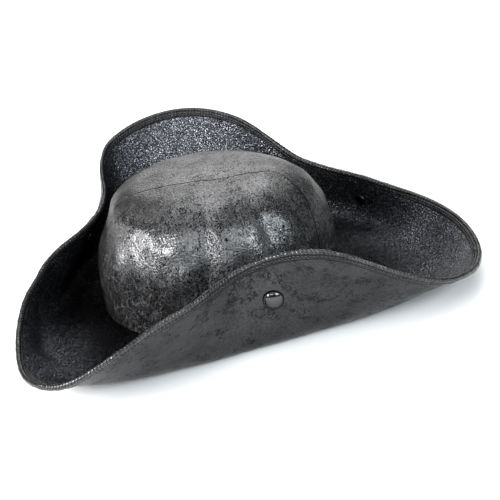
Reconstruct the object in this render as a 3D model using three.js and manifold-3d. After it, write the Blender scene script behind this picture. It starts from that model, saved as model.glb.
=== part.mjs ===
// Tricorn hat: a hollow oval crown on a wide leather brim that folds up into three flaps.
// Millimetres, +Z up, +X to the front point, +Y to the wearer's left. It rests on the flat of the brim.
import * as THREE from 'three';
import { mergeVertices } from 'three/addons/utils/BufferGeometryUtils.js';
import Module from 'manifold-3d';

// Crown: the oval is measured outside, where it meets the brim.
const headLength = 194;
const headWidth = 176;
const crownHeight = 103;
const crownWall = 2;

// Brim: its width runs along the leather from the crown to the finished edge.
const brimWidth = 120;
const brimWall = 2.2;
const foldSoftness = 20;
const flatMargin = 4;

// Edge binding: a strip turned over the brim's edge.
const bindingWidth = 7;
const bindingWall = 1;

// Snaps: a domed cap outside, a post through the brim and a flat stud inside.
const snapDiameter = 15.5;
const snapDome = 2.6;
const snapRim = 0.7;
const studDiameter = 9;
const studHeight = 1.4;
const postDiameter = 4;

// Clearances between pieces.
const seatGap = 0.3;
const capGap = 0.4;
const studGap = 1;

// Facets: how finely the surfaces are divided.
const brimFacets = 96;
const brimRings = 12;
const crownFacets = 64;
const crownRings = 14;
const snapFacets = 18;
const domeFacets = 4;

// The brim's folds, one row for each sixteenth of a turn, anticlockwise from the front point.
// reach: how far the edge stands out from the crown. lift: how high the edge is.
// fold: how far out the brim starts to rise. All are shares of the brim's width.
const brimFolds = [
  { reach: 0.95, lift: 0.16, fold: 0.48 },
  { reach: 0.84, lift: 0.21, fold: 0.56 },
  { reach: 0.54, lift: 0.36, fold: 0.58 },
  { reach: 0.44, lift: 0.47, fold: 0.48 },
  { reach: 0.44, lift: 0.79, fold: 0.23 },
  { reach: 0.58, lift: 0.86, fold: 0.13 },
  { reach: 0.53, lift: 0.77, fold: 0.30 },
  { reach: 0.10, lift: 0.60, fold: 0.44 },
  { reach: 0.04, lift: 0.55, fold: 0.38 },
  { reach: 0.36, lift: 0.44, fold: 0.50 },
  { reach: 0.75, lift: 0.24, fold: 0.58 },
  { reach: 1.00, lift: 0.24, fold: 0.53 },
  { reach: 0.76, lift: 0.55, fold: 0.38 },
  { reach: 0.30, lift: 0.63, fold: 0.29 },
  { reach: 0.51, lift: 0.69, fold: 0.30 },
  { reach: 0.89, lift: 0.32, fold: 0.42 },
];

// The crown's upright outline, from the brim to the top.
// height is a share of the crown's height, spread of the head's oval, lean of the head's length.
const crownOutline = [
  { height: 0.00, spread: 1.00, lean: 0.000 },
  { height: 0.18, spread: 1.00, lean: 0.002 },
  { height: 0.38, spread: 1.00, lean: 0.009 },
  { height: 0.56, spread: 0.97, lean: 0.015 },
  { height: 0.70, spread: 0.90, lean: 0.016 },
  { height: 0.80, spread: 0.83, lean: 0.008 },
  { height: 0.88, spread: 0.72, lean: 0.000 },
  { height: 0.94, spread: 0.58, lean: -0.006 },
  { height: 0.97, spread: 0.41, lean: -0.010 },
  { height: 0.99, spread: 0.21, lean: -0.010 },
  { height: 1.00, spread: 0.00, lean: -0.010 },
];

// Dents pushed into the crown. turn and halfTurn are shares of a full turn, height and halfHeight
// are shares of the crown's height, and depth is a share of the head's width.
const crownDents = [
  { turn: 0.775, halfTurn: 0.022, height: 0.50, halfHeight: 0.22, depth: 0.026 },
  { turn: 0.875, halfTurn: 0.020, height: 0.48, halfHeight: 0.22, depth: 0.026 },
  { turn: 0.660, halfTurn: 0.025, height: 0.40, halfHeight: 0.22, depth: 0.015 },
  { turn: 0.545, halfTurn: 0.055, height: 0.62, halfHeight: 0.16, depth: 0.032 },
  { turn: 0.330, halfTurn: 0.030, height: 0.50, halfHeight: 0.25, depth: 0.018 },
  { turn: 0.180, halfTurn: 0.030, height: 0.50, halfHeight: 0.25, depth: 0.018 },
  { turn: 0.020, halfTurn: 0.040, height: 0.55, halfHeight: 0.20, depth: 0.015 },
];

// Each snap's place: turn is a share of a full turn, drop below the edge a share of the brim's width.
const snapPlaces = [
  { name: 'snap_near', turn: 0.838, drop: 0.30 },
  { name: 'snap_back', turn: 0.455, drop: 0.35 },
  { name: 'snap_far', turn: 0.132, drop: 0.21 },
];

const edgeCover = seatGap + bindingWall;

// Smooth curve through four evenly spaced values.
function curveThrough(before, from, to, after, share) {
  const slope = (to - before) / 2;
  const nextSlope = (after - from) / 2;
  const square = 3 * (to - from) - 2 * slope - nextSlope;
  const cube = 2 * (from - to) + slope + nextSlope;
  return from + share * (slope + share * (square + share * cube));
}

// A column of a table that closes on itself, read at a share of a full turn.
function readRound(table, column, turn) {
  const place = (turn - Math.floor(turn)) * table.length;
  const row = Math.floor(place);
  const value = (step) => table[(row + step + table.length) % table.length][column];
  return curveThrough(value(-1), value(0), value(1), value(2), place - row);
}

// A column of a table with two ends, read at a share of its length.
function readAlong(table, column, share) {
  const place = share * (table.length - 1);
  const row = Math.min(Math.floor(place), table.length - 2);
  const value = (step) => table[THREE.MathUtils.clamp(row + step, 0, table.length - 1)][column];
  return curveThrough(value(-1), value(0), value(1), value(2), place - row);
}

function headRadius(turn) {
  const angle = 2 * Math.PI * turn;
  const along = Math.cos(angle) / (headLength / 2);
  const across = Math.sin(angle) / (headWidth / 2);
  return 1 / Math.hypot(along, across);
}

// One upright cut through the brim: flat, a rounded fold, then straight up the flap.
// Points in it are (distance out from the crown, height).
function brimCut(turn) {
  const edge = new THREE.Vector2(
    brimWidth * readRound(brimFolds, 'reach', turn),
    brimWidth * readRound(brimFolds, 'lift', turn),
  );
  const corner = new THREE.Vector2(brimWidth * readRound(brimFolds, 'fold', turn), 0);
  const rise = edge.clone().sub(corner);
  const flapLength = rise.length() - edgeCover;
  rise.normalize();
  const flatBend = Math.min(foldSoftness, corner.x - flatMargin);
  const flapBend = Math.min(1.3 * foldSoftness, flapLength - 1.5 * bindingWidth);
  const flatEnd = new THREE.Vector2(corner.x - flatBend, 0);
  const bendEnd = corner.clone().addScaledVector(rise, flapBend);
  const bend = new THREE.QuadraticBezierCurve(flatEnd, corner, bendEnd);
  const bendLength = bend.getLength();
  const flatLength = flatEnd.x + crownWall;
  const length = flatLength + bendLength + flapLength - flapBend;

  // The outer face's point and direction at a distance along the cut from the head opening.
  function at(distance) {
    if (distance <= flatLength) {
      return { point: new THREE.Vector2(distance - crownWall, 0), along: new THREE.Vector2(1, 0) };
    }
    if (distance < flatLength + bendLength) {
      const share = (distance - flatLength) / bendLength;
      return { point: bend.getPointAt(share), along: bend.getTangentAt(share) };
    }
    const past = distance - flatLength - bendLength;
    return { point: bendEnd.clone().addScaledVector(rise, past), along: rise.clone() };
  }

  return { length, at };
}

// A point of the brim: out along the cut, then inward through the leather.
function brimPoint(turn, cut, distance, inward) {
  const { point, along } = cut.at(distance);
  const out = headRadius(turn) + point.x - inward * along.y;
  const angle = 2 * Math.PI * turn;
  return new THREE.Vector3(out * Math.cos(angle), out * Math.sin(angle), point.y + inward * along.x);
}

function crownPoint(turn, share, inward) {
  const level = (part) => {
    const spread = readAlong(crownOutline, 'spread', part);
    return new THREE.Vector2(headRadius(turn) * spread, crownHeight * readAlong(crownOutline, 'height', part));
  };
  const nudge = 0.01;
  const here = level(share);
  const along = level(Math.min(share + nudge, 1)).sub(level(Math.max(share - nudge, 0))).normalize();
  const dent = crownDent(turn, here.y / crownHeight);
  const out = Math.max(here.x - (inward + dent) * along.y, 0);
  const angle = 2 * Math.PI * turn;
  const lean = headLength * readAlong(crownOutline, 'lean', share);
  const foot = brimWall + seatGap;
  const height = Math.max(here.y - inward * Math.abs(along.x), 0);
  return new THREE.Vector3(lean + out * Math.cos(angle), out * Math.sin(angle), foot + height);
}

// Sum of the dents, each falling away smoothly from its centre.
function crownDent(turn, height) {
  let depth = 0;
  for (const dent of crownDents) {
    const apart = turn - dent.turn - Math.round(turn - dent.turn);
    const sideways = apart / dent.halfTurn;
    const upwards = (height - dent.height) / dent.halfHeight;
    depth += headWidth * dent.depth * Math.exp(-(sideways ** 2) - upwards ** 2);
  }
  return depth;
}

// Closed surface through rings of equal count. The last ring joins the first,
// or both ends shrink to single points where the surface is capped.
// A twisted facet is split the same way on both sides of a gap, so neighbours stay parallel.
function ringSolid(rings, capped) {
  const around = rings[0].length;
  const points = rings.flat();
  const index = [];
  const spans = capped ? rings.length - 1 : rings.length;
  const rise = (first, second) => [points[first], points[second]]
    .reduce((sum, point) => sum + point.z - Math.hypot(point.x, point.y), 0);
  for (let span = 0; span < spans; span++) {
    const next = (span + 1) % rings.length;
    for (let side = 0; side < around; side++) {
      const beside = (side + 1) % around;
      const [a, b] = [span * around + side, span * around + beside];
      const [c, d] = [next * around + side, next * around + beside];
      if (capped && span === 0) index.push(a, d, c);
      else if (capped && span === spans - 1) index.push(a, b, c);
      else if (rise(a, d) > rise(b, c)) index.push(a, b, d, a, d, c);
      else index.push(a, b, c, b, d, c);
    }
  }
  const geometry = new THREE.BufferGeometry();
  const positions = points.flatMap((point) => point.toArray());
  geometry.setAttribute('position', new THREE.Float32BufferAttribute(positions, 3));
  geometry.setIndex(index);
  const merged = mergeVertices(geometry, 1e-3);
  merged.computeVertexNormals();
  return merged;
}

function ring(count, pointAt) {
  return Array.from({ length: count }, (_, side) => pointAt(side / count));
}

function brimGeometry() {
  const cuts = ring(brimFacets, brimCut);
  const flatEnd = crownWall + flatMargin;
  const distanceAt = (cut, step) => {
    if (step === 0) return 0;
    if (step > brimRings) return cut.length;
    const bindingStart = cut.length + edgeCover - bindingWidth;
    return THREE.MathUtils.lerp(flatEnd, bindingStart, (step - 1) / (brimRings - 1));
  };
  const face = (step, inward) => ring(brimFacets, (turn) => {
    const cut = cuts[Math.round(turn * brimFacets)];
    return brimPoint(turn, cut, distanceAt(cut, step), inward);
  });
  const steps = Array.from({ length: brimRings + 2 }, (_, step) => step);
  const under = steps.map((step) => face(step, 0));
  const over = steps.reverse().map((step) => face(step, brimWall));
  return ringSolid([...under, ...over], false);
}

function bindingGeometry() {
  const back = edgeCover - bindingWidth;
  const outside = [-edgeCover, brimWall + edgeCover];
  const inside = [-seatGap, brimWall + seatGap];
  const outline = [
    [back, outside[0]], [edgeCover, outside[0]], [edgeCover, outside[1]], [back, outside[1]],
    [back, inside[1]], [seatGap, inside[1]], [seatGap, inside[0]], [back, inside[0]],
  ];
  const rings = outline.map(([past, inward]) => ring(brimFacets, (turn) => {
    const cut = brimCut(turn);
    return brimPoint(turn, cut, cut.length + past, inward);
  }));
  return ringSolid(rings, false);
}

function crownGeometry() {
  const steps = Array.from({ length: crownRings + 1 }, (_, step) => step / crownRings);
  const level = (share, inward) => ring(crownFacets, (turn) => {
    const isTop = share === 1;
    return crownPoint(isTop ? 0 : turn, share, inward);
  });
  const inner = steps.map((share) => level(share, crownWall));
  const outer = steps.map((share) => level(share, 0));
  return ringSolid([...inner.reverse(), ...outer], true);
}

// The snap turns about its own Z axis: the cap's rim stands on z = 0 and the stud is below.
function snapGeometry() {
  const capRadius = snapDiameter / 2;
  const postLength = capGap + brimWall + studGap;
  const profile = [new THREE.Vector2(0, -postLength - studHeight)];
  profile.push(new THREE.Vector2(studDiameter / 2, -postLength - studHeight));
  profile.push(new THREE.Vector2(studDiameter / 2, -postLength));
  profile.push(new THREE.Vector2(postDiameter / 2, -postLength));
  profile.push(new THREE.Vector2(postDiameter / 2, 0));
  profile.push(new THREE.Vector2(capRadius, 0));
  for (let step = 0; step <= domeFacets; step++) {
    const angle = (Math.PI / 2) * (step / domeFacets);
    const out = step === domeFacets ? 0 : capRadius * Math.cos(angle);
    profile.push(new THREE.Vector2(out, snapRim + (snapDome - snapRim) * Math.sin(angle)));
  }
  return new THREE.LatheGeometry(profile, snapFacets).rotateX(Math.PI / 2);
}

// Where a snap goes through the flap, and which way its cap looks.
function snapSeat({ turn, drop }) {
  const place = (shift, rise) => {
    const cut = brimCut(turn + shift);
    const distance = cut.length + edgeCover - brimWidth * drop + rise;
    return brimPoint(turn + shift, cut, distance, 0);
  };
  const nudge = 0.01;
  const around = place(nudge, 0).sub(place(-nudge, 0));
  const up = place(0, snapDiameter / 2).sub(place(0, -snapDiameter / 2));
  return { centre: place(0, 0), outward: around.cross(up).normalize() };
}

function toManifold(wasm, geometry) {
  const bare = geometry.clone();
  bare.deleteAttribute('normal');
  bare.deleteAttribute('uv');
  const merged = mergeVertices(bare, 1e-3);
  const vertProperties = new Float32Array(merged.attributes.position.array);
  const triVerts = new Uint32Array(merged.index.array);
  return new wasm.Manifold(new wasm.Mesh({ numProp: 3, vertProperties, triVerts }));
}

function fromManifold(solid) {
  const mesh = solid.getMesh();
  const geometry = new THREE.BufferGeometry();
  geometry.setAttribute('position', new THREE.BufferAttribute(mesh.vertProperties, 3));
  geometry.setIndex(new THREE.BufferAttribute(mesh.triVerts, 1));
  geometry.computeVertexNormals();
  return geometry;
}

// The brim with a round hole for each snap's post.
function drilledBrim(wasm, seats) {
  let brim = toManifold(wasm, brimGeometry());
  const holeRadius = postDiameter / 2 + seatGap;
  const drill = new THREE.CylinderGeometry(holeRadius, holeRadius, 6 * brimWall, snapFacets);
  for (const seat of seats) {
    const turned = new THREE.Quaternion().setFromUnitVectors(new THREE.Vector3(0, 1, 0), seat.outward);
    const placed = drill.clone().applyQuaternion(turned).translate(...seat.centre.toArray());
    brim = brim.subtract(toManifold(wasm, placed));
  }
  return fromManifold(brim);
}

function leather(color, roughness) {
  return new THREE.MeshStandardMaterial({ color, roughness, metalness: 0 });
}

function piece(name, geometry, material) {
  const mesh = new THREE.Mesh(geometry, material);
  mesh.name = name;
  return mesh;
}

function snapPiece(name, seat) {
  const blackMetal = new THREE.MeshStandardMaterial({ color: 0x1b1b1d, roughness: 0.25, metalness: 0.9 });
  const snap = piece(name, snapGeometry(), blackMetal);
  snap.quaternion.setFromUnitVectors(new THREE.Vector3(0, 0, 1), seat.outward);
  snap.position.copy(seat.centre).addScaledVector(seat.outward, capGap);
  return snap;
}

const wasm = await Module();
wasm.setup();

const seats = snapPlaces.map(snapSeat);
const hat = new THREE.Group();
hat.add(piece('crown', crownGeometry(), leather(0x2b2b2e, 0.45)));
hat.add(piece('brim', drilledBrim(wasm, seats), leather(0x232325, 0.5)));
hat.add(piece('edge_binding', bindingGeometry(), leather(0x1e1e20, 0.45)));
snapPlaces.forEach(({ name }, place) => hat.add(snapPiece(name, seats[place])));

// The origin lies on the floor under the middle of the hat's box.
const box = new THREE.Box3().setFromObject(hat, true);
const middle = box.getCenter(new THREE.Vector3());
hat.position.set(-middle.x, -middle.y, 0);

export default hat;
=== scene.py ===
"""Tricorn hat in cracked black leather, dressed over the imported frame.

Metres, +Z up, +X to the front point, +Y to the wearer's left. The hat rests on the flat of its brim.
"""
import logging
import math
from dataclasses import dataclass, field
from enum import Enum
from typing import Union

import bpy
import numpy as np
from mathutils import Matrix, Vector


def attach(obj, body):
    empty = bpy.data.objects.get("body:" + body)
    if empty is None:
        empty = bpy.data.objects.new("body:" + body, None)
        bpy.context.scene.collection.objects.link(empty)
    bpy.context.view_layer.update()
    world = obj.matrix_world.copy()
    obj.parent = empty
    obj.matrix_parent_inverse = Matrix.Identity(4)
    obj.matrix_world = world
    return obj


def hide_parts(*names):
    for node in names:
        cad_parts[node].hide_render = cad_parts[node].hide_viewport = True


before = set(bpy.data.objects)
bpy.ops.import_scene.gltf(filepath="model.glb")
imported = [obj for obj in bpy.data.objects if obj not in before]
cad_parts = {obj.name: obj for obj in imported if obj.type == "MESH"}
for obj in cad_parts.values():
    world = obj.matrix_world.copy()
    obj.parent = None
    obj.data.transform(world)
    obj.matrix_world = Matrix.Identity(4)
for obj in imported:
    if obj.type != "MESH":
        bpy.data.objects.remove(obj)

LOG = logging.getLogger("tricorn")
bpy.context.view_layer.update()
MM = 0.001
Colour = tuple[float, float, float]


def curve_through(
    before: np.ndarray, start: np.ndarray, end: np.ndarray, after: np.ndarray, share: np.ndarray
) -> np.ndarray:
    """A smooth curve from start to end.

    The value is a cubic in share whose slope at each end is half the step between its two neighbours.

    Args:
        before, start, end, after: four evenly spaced values.
        share: how far from start to end, 0 to 1.

    Returns:
        The values at share.
    """
    slope = (end - before) / 2
    next_slope = (after - start) / 2
    square = 3 * (end - start) - 2 * slope - next_slope
    cube = 2 * (start - end) + slope + next_slope
    return start + share * (slope + share * (square + share * cube))


def read_round(column: tuple[float, ...], turn: np.ndarray) -> np.ndarray:
    """Reads a column that closes on itself.

    Args:
        column: evenly spaced values over one turn.
        turn: shares of a full turn.

    Returns:
        The smooth values at those turns.
    """
    values = np.asarray(column)
    place = (np.asarray(turn) % 1.0) * len(values)
    row = np.floor(place).astype(int)
    near = [values[(row + step) % len(values)] for step in (-1, 0, 1, 2)]
    return curve_through(*near, place - row)


def read_along(column: tuple[float, ...], share: np.ndarray) -> np.ndarray:
    """Reads a column with two ends.

    Args:
        column: evenly spaced values.
        share: how far along the column, 0 to 1.

    Returns:
        The smooth values there.
    """
    values = np.asarray(column)
    place = np.clip(share, 0, 1) * (len(values) - 1)
    row = np.minimum(np.floor(place).astype(int), len(values) - 2)
    near = [values[np.clip(row + step, 0, len(values) - 1)] for step in (-1, 0, 1, 2)]
    return curve_through(*near, place - row)


def ease(low: float, high: float, value: np.ndarray) -> np.ndarray:
    """Smooth step: 0 below low, 1 above high, and 3s^2 - 2s^3 of the share s between them."""
    share = np.clip((value - low) / (high - low), 0, 1)
    return share * share * (3 - 2 * share)


def unit(vectors: np.ndarray) -> np.ndarray:
    """Each vector divided by its own length."""
    return vectors / np.maximum(np.linalg.norm(vectors, axis=-1, keepdims=True), 1e-12)


@dataclass(frozen=True)
class Ripple:
    """Soft uneven waves through space: a sum of cosines with seeded directions, lengths and phases."""

    seed: int
    longest: float
    shortest: float
    waves: int = 24

    def at(self, points: np.ndarray) -> np.ndarray:
        """The waves' sum at each point.

        Each wave is cos(k . p + phase), and the sum is divided by the square root of half their number.

        Args:
            points: places, with x, y and z last.

        Returns:
            One value a point, mostly between -2 and 2.
        """
        chance = np.random.default_rng(self.seed)
        heading = unit(chance.normal(size=(self.waves, 3)))
        length = np.exp(chance.uniform(np.log(self.shortest), np.log(self.longest), self.waves))
        phase = chance.uniform(0, 2 * np.pi, self.waves)
        turns = points @ (heading * (2 * np.pi / length)[:, None]).T + phase
        return np.cos(turns).sum(axis=-1) / math.sqrt(self.waves / 2)


@dataclass
class Shape:
    """A closed surface: points, its four-sided and three-sided faces, and named values on its points."""

    points: np.ndarray
    quads: np.ndarray
    triangles: np.ndarray = field(default_factory=lambda: np.zeros((0, 3), int))
    marks: dict[str, np.ndarray] = field(default_factory=dict)

    def volume(self) -> float:
        """Signed volume: a sixth of the sum of the corners' triple products, face by face.

        Returns:
            The volume, below 0 where the faces point inwards.
        """
        halves = [self.quads[:, [0, 1, 2]], self.quads[:, [0, 2, 3]], self.triangles]
        corners = self.points[np.concatenate(halves)]
        products = np.einsum("ij,ij->i", corners[:, 0], np.cross(corners[:, 1], corners[:, 2]))
        return float(products.sum() / 6)

    def outward(self) -> "Shape":
        """The same shape with its faces turned to point outwards.

        Returns:
            This shape, or one with each face turned over.
        """
        if self.volume() >= 0:
            return self
        return Shape(self.points, self.quads[:, ::-1], self.triangles[:, ::-1], self.marks)

    def piece(self, name: str) -> bpy.types.Object:
        """Makes the shape a smooth mesh object at the origin.

        Args:
            name: the object's name.

        Returns:
            The linked object.
        """
        shape = self.outward()
        corners = np.concatenate([shape.quads.ravel(), shape.triangles.ravel()])
        sides = np.concatenate([np.full(len(shape.quads), 4), np.full(len(shape.triangles), 3)])
        starts = np.concatenate([[0], np.cumsum(sides)[:-1]])
        mesh = bpy.data.meshes.new(name)
        mesh.vertices.add(len(shape.points))
        mesh.vertices.foreach_set("co", shape.points.astype(np.float32).ravel())
        mesh.loops.add(len(corners))
        mesh.loops.foreach_set("vertex_index", corners.astype(np.int32))
        mesh.polygons.add(len(sides))
        mesh.polygons.foreach_set("loop_start", starts.astype(np.int32))
        mesh.update(calc_edges=True)
        mesh.polygons.foreach_set("use_smooth", np.ones(len(sides), bool))
        for mark, values in shape.marks.items():
            attribute = mesh.attributes.new(mark, "FLOAT", "POINT")
            attribute.data.foreach_set("value", values.astype(np.float32).ravel())
        mesh.validate()
        thing = bpy.data.objects.new(name, mesh)
        bpy.context.scene.collection.objects.link(thing)
        return thing


def loop_faces(rows: int, columns: int, closed: bool) -> np.ndarray:
    """Faces of a grid whose columns run round a ring.

    Face (row, column) joins (row, column), (row, column + 1), (row + 1, column + 1), (row + 1, column).

    Args:
        rows: rows of points.
        columns: points in each row.
        closed: whether the last row joins the first.

    Returns:
        Corner numbers, four a face.
    """
    row, column = np.meshgrid(np.arange(rows if closed else rows - 1), np.arange(columns), indexing="ij")
    beside = (column + 1) % columns
    above = (row + 1) % rows
    here, next_row = row * columns, above * columns
    corners = [here + column, here + beside, next_row + beside, next_row + column]
    return np.stack(corners, axis=-1).reshape(-1, 4)


def capped(grid: np.ndarray, low: np.ndarray, high: np.ndarray) -> Shape:
    """A ringed surface closed by one point at each end.

    Args:
        grid: rows of rings, (rows, columns, 3).
        low: the point below the first row.
        high: the point above the last row.

    Returns:
        The closed shape.
    """
    rows, columns = grid.shape[:2]
    points = np.concatenate([grid.reshape(-1, 3), low[None], high[None]])
    side = np.arange(columns)
    beside = (side + 1) % columns
    last = (rows - 1) * columns
    low_fan = np.stack([np.full(columns, rows * columns), beside, side], axis=-1)
    high_fan = np.stack([np.full(columns, rows * columns + 1), last + side, last + beside], axis=-1)
    return Shape(points, loop_faces(rows, columns, False), np.concatenate([low_fan, high_fan]))


@dataclass(frozen=True)
class BrimCut:
    """Upright cuts through the brim, one a turn: flat, a rounded fold, then straight up the flap."""

    turn: np.ndarray
    flat_end: np.ndarray
    corner: np.ndarray
    bend_end: np.ndarray
    rise: np.ndarray
    flat_length: np.ndarray
    bend_lengths: np.ndarray
    length: np.ndarray

    def at(self, distance: np.ndarray) -> tuple[np.ndarray, np.ndarray]:
        """The outer face's places and directions.

        The fold is a curve pulled towards its corner, read by its length. Before it the leather runs
        level, and after it the leather runs straight along the rise.

        Args:
            distance: how far along each cut from the head opening, (turns, steps).

        Returns:
            Places and directions in each cut's plane, as (out, up).
        """
        into = distance - self.flat_length[:, None]
        bend_length = self.bend_lengths[:, -1:]
        inside = np.clip(into, 0, bend_length)
        steps = self.bend_lengths.shape[1]
        row = (self.bend_lengths[:, None, 1:-1] <= inside[..., None]).sum(axis=-1)
        low = np.take_along_axis(self.bend_lengths, row, axis=1)
        high = np.take_along_axis(self.bend_lengths, row + 1, axis=1)
        share = ((row + (inside - low) / (high - low)) / (steps - 1))[..., None]
        first, pull, last = (point[:, None] for point in (self.flat_end, self.corner, self.bend_end))
        place = (1 - share) ** 2 * first + 2 * share * (1 - share) * pull + share ** 2 * last
        along = unit((1 - share) * (pull - first) + share * (last - pull))
        level = np.minimum(into, 0)[..., None] * np.array([1.0, 0.0])
        straight = np.maximum(into - bend_length, 0)[..., None] * self.rise[:, None]
        return place + level + straight, along


@dataclass(frozen=True)
class HatForm:
    """The hat's own sizes and tables, the same as in the part's source, and the formulas on them."""

    head_length: float = 0.194
    head_width: float = 0.176
    crown_height: float = 0.103
    crown_wall: float = 0.002
    brim_width: float = 0.120
    brim_wall: float = 0.0022
    fold_softness: float = 0.020
    flap_softness_share: float = 1.3
    flat_margin: float = 0.004
    fold_steps: int = 49
    binding_width: float = 0.007
    binding_wall: float = 0.001
    binding_room: float = 1.5
    seat_gap: float = 0.0003
    head_centre: tuple[float, float] = (-0.03613196, 0.02424496)
    reach: tuple[float, ...] = (
        .95, .84, .54, .44, .44, .58, .53, .10, .04, .36, .75, 1.00, .76, .30, .51, .89,
    )
    lift: tuple[float, ...] = (
        .16, .21, .36, .47, .79, .86, .77, .60, .55, .44, .24, .24, .55, .63, .69, .32,
    )
    fold: tuple[float, ...] = (
        .48, .56, .58, .48, .23, .13, .30, .44, .38, .50, .58, .53, .38, .29, .30, .42,
    )
    crown_levels: tuple[float, ...] = (0, .18, .38, .56, .70, .80, .88, .94, .97, .99, 1)
    crown_spread: tuple[float, ...] = (1, 1, 1, .97, .90, .83, .72, .58, .41, .21, 0)
    crown_lean: tuple[float, ...] = (
        0, .002, .009, .015, .016, .008, 0, -.006, -.010, -.010, -.010,
    )
    # Dents: turn, half turn, level, half level, depth as a share of the head's width.
    dents: tuple[tuple[float, ...], ...] = (
        (.775, .022, .50, .22, .026),
        (.875, .020, .48, .22, .026),
        (.660, .025, .40, .22, .015),
        (.545, .055, .62, .16, .032),
        (.330, .030, .50, .25, .018),
        (.180, .030, .50, .25, .018),
        (.020, .040, .55, .20, .015),
    )
    # Swells and hollows that only the dressed crown has: turn, half turn, level, half level, height.
    swells: tuple[tuple[float, ...], ...] = (
        (.712, .036, .70, .07, .0040),
        (.830, .026, .70, .09, .0024),
        (.908, .018, .69, .10, .0022),
        (.775, .016, .76, .10, -.0024),
        (.874, .015, .74, .12, -.0034),
        (.800, .150, .88, .045, -.0014),
        (.560, .040, .78, .06, -.0026),
        (.565, .050, .52, .12, .0018),
    )
    flap_ripple: Ripple = Ripple(seed=11, longest=0.110, shortest=0.035)
    flap_wave: float = 0.0004
    flap_wave_rise: tuple[float, float] = (0.004, 0.030)
    crown_ripple: Ripple = Ripple(seed=23, longest=0.060, shortest=0.018)
    crown_wave: float = 0.0005
    crown_wave_levels: tuple[float, float] = (0.06, 0.25)
    # The back flap bows outward by this much about this turn.
    back_bow: float = 0.0045
    bow_turn: float = 0.41
    bow_half_turn: float = 0.06

    @property
    def edge_cover(self) -> float:
        """How far the binding stands past the leather's edge."""
        return self.seat_gap + self.binding_wall

    @property
    def crown_foot(self) -> float:
        """How high the crown's foot stands."""
        return self.brim_wall + self.seat_gap

    @property
    def binding_back(self) -> float:
        """Where the binding's free edge lies, as a distance past the leather's edge."""
        return self.edge_cover - self.binding_width

    def head_radius(self, turn: np.ndarray) -> np.ndarray:
        """Radius of the head's oval: one over the length of (cos / half length, sin / half width)."""
        angle = 2 * np.pi * turn
        return 1 / np.hypot(np.cos(angle) / (self.head_length / 2), np.sin(angle) / (self.head_width / 2))

    def cut(self, turn: np.ndarray) -> BrimCut:
        """Works out the brim's cuts.

        The edge and the fold's corner are read from the tables. The flap runs from the corner to the
        edge, and the fold takes up to the softness on the flat and its flap share on the flap.

        Args:
            turn: shares of a full turn, one a cut.

        Returns:
            The cuts.
        """
        edge_shares = [read_round(self.reach, turn), read_round(self.lift, turn)]
        edge = self.brim_width * np.stack(edge_shares, axis=-1)
        corner_out = self.brim_width * read_round(self.fold, turn)
        corner = np.stack([corner_out, np.zeros_like(corner_out)], axis=-1)
        flap = np.linalg.norm(edge - corner, axis=-1) - self.edge_cover
        rise = unit(edge - corner)
        flat_bend = np.minimum(self.fold_softness, corner_out - self.flat_margin)
        room = flap - self.binding_room * self.binding_width
        flap_bend = np.minimum(self.flap_softness_share * self.fold_softness, room)
        flat_end = corner - np.stack([flat_bend, np.zeros_like(flat_bend)], axis=-1)
        bend_end = corner + rise * flap_bend[:, None]
        share = np.linspace(0, 1, self.fold_steps)[None, :, None]
        curve = (1 - share) ** 2 * flat_end[:, None] + 2 * share * (1 - share) * corner[:, None]
        curve = curve + share ** 2 * bend_end[:, None]
        steps = np.linalg.norm(np.diff(curve, axis=1), axis=-1)
        lengths = np.concatenate([np.zeros((len(steps), 1)), np.cumsum(steps, axis=1)], axis=1)
        flat_length = flat_end[:, 0] + self.crown_wall
        length = flat_length + lengths[:, -1] + flap - flap_bend
        return BrimCut(turn, flat_end, corner, bend_end, rise, flat_length, lengths, length)

    def brim_relief(self, cut: BrimCut, distance: np.ndarray, place: np.ndarray) -> np.ndarray:
        """How far the leather is pushed inward from its plain form.

        Soft waves grow from nothing on the flat to under a millimetre on the flap. The back flap also
        bows outward between its fold and its edge.

        Args:
            cut: the cuts.
            distance: distances along them.
            place: the plain outer face there.

        Returns:
            The push at each place.
        """
        rising = distance - cut.flat_length[:, None]
        waves = self.flap_wave * self.flap_ripple.at(place) * ease(*self.flap_wave_rise, rising)
        share = np.clip(rising / (cut.length - cut.flat_length)[:, None], 0, 1)
        apart = (cut.turn[:, None] - self.bow_turn + 0.5) % 1.0 - 0.5
        bow = self.back_bow * np.exp(-((apart / self.bow_half_turn) ** 2)) * np.sin(np.pi * share) ** 2
        return waves - bow

    def brim_point(self, cut: BrimCut, distance: np.ndarray, inward: np.ndarray) -> np.ndarray:
        """Places in the brim: out along the cut, then inward through the leather.

        Args:
            cut: the cuts.
            distance: distances along them, (turns, steps).
            inward: depths below the outer face, (turns, steps).

        Returns:
            Points, (turns, steps, 3).
        """
        place, along = cut.at(distance)
        angle = 2 * np.pi * cut.turn[:, None]
        radius = self.head_radius(cut.turn)[:, None]

        def spot(depth: np.ndarray) -> np.ndarray:
            """Points at a depth through the leather.

            Args:
                depth: depths below the plain outer face.

            Returns:
                The points.
            """
            out = radius + place[..., 0] - depth * along[..., 1]
            up = place[..., 1] + depth * along[..., 0]
            x = out * np.cos(angle) + self.head_centre[0]
            y = out * np.sin(angle) + self.head_centre[1]
            return np.stack([x, y, up], axis=-1)

        return spot(inward + self.brim_relief(cut, distance, spot(np.zeros_like(distance))))

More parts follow.
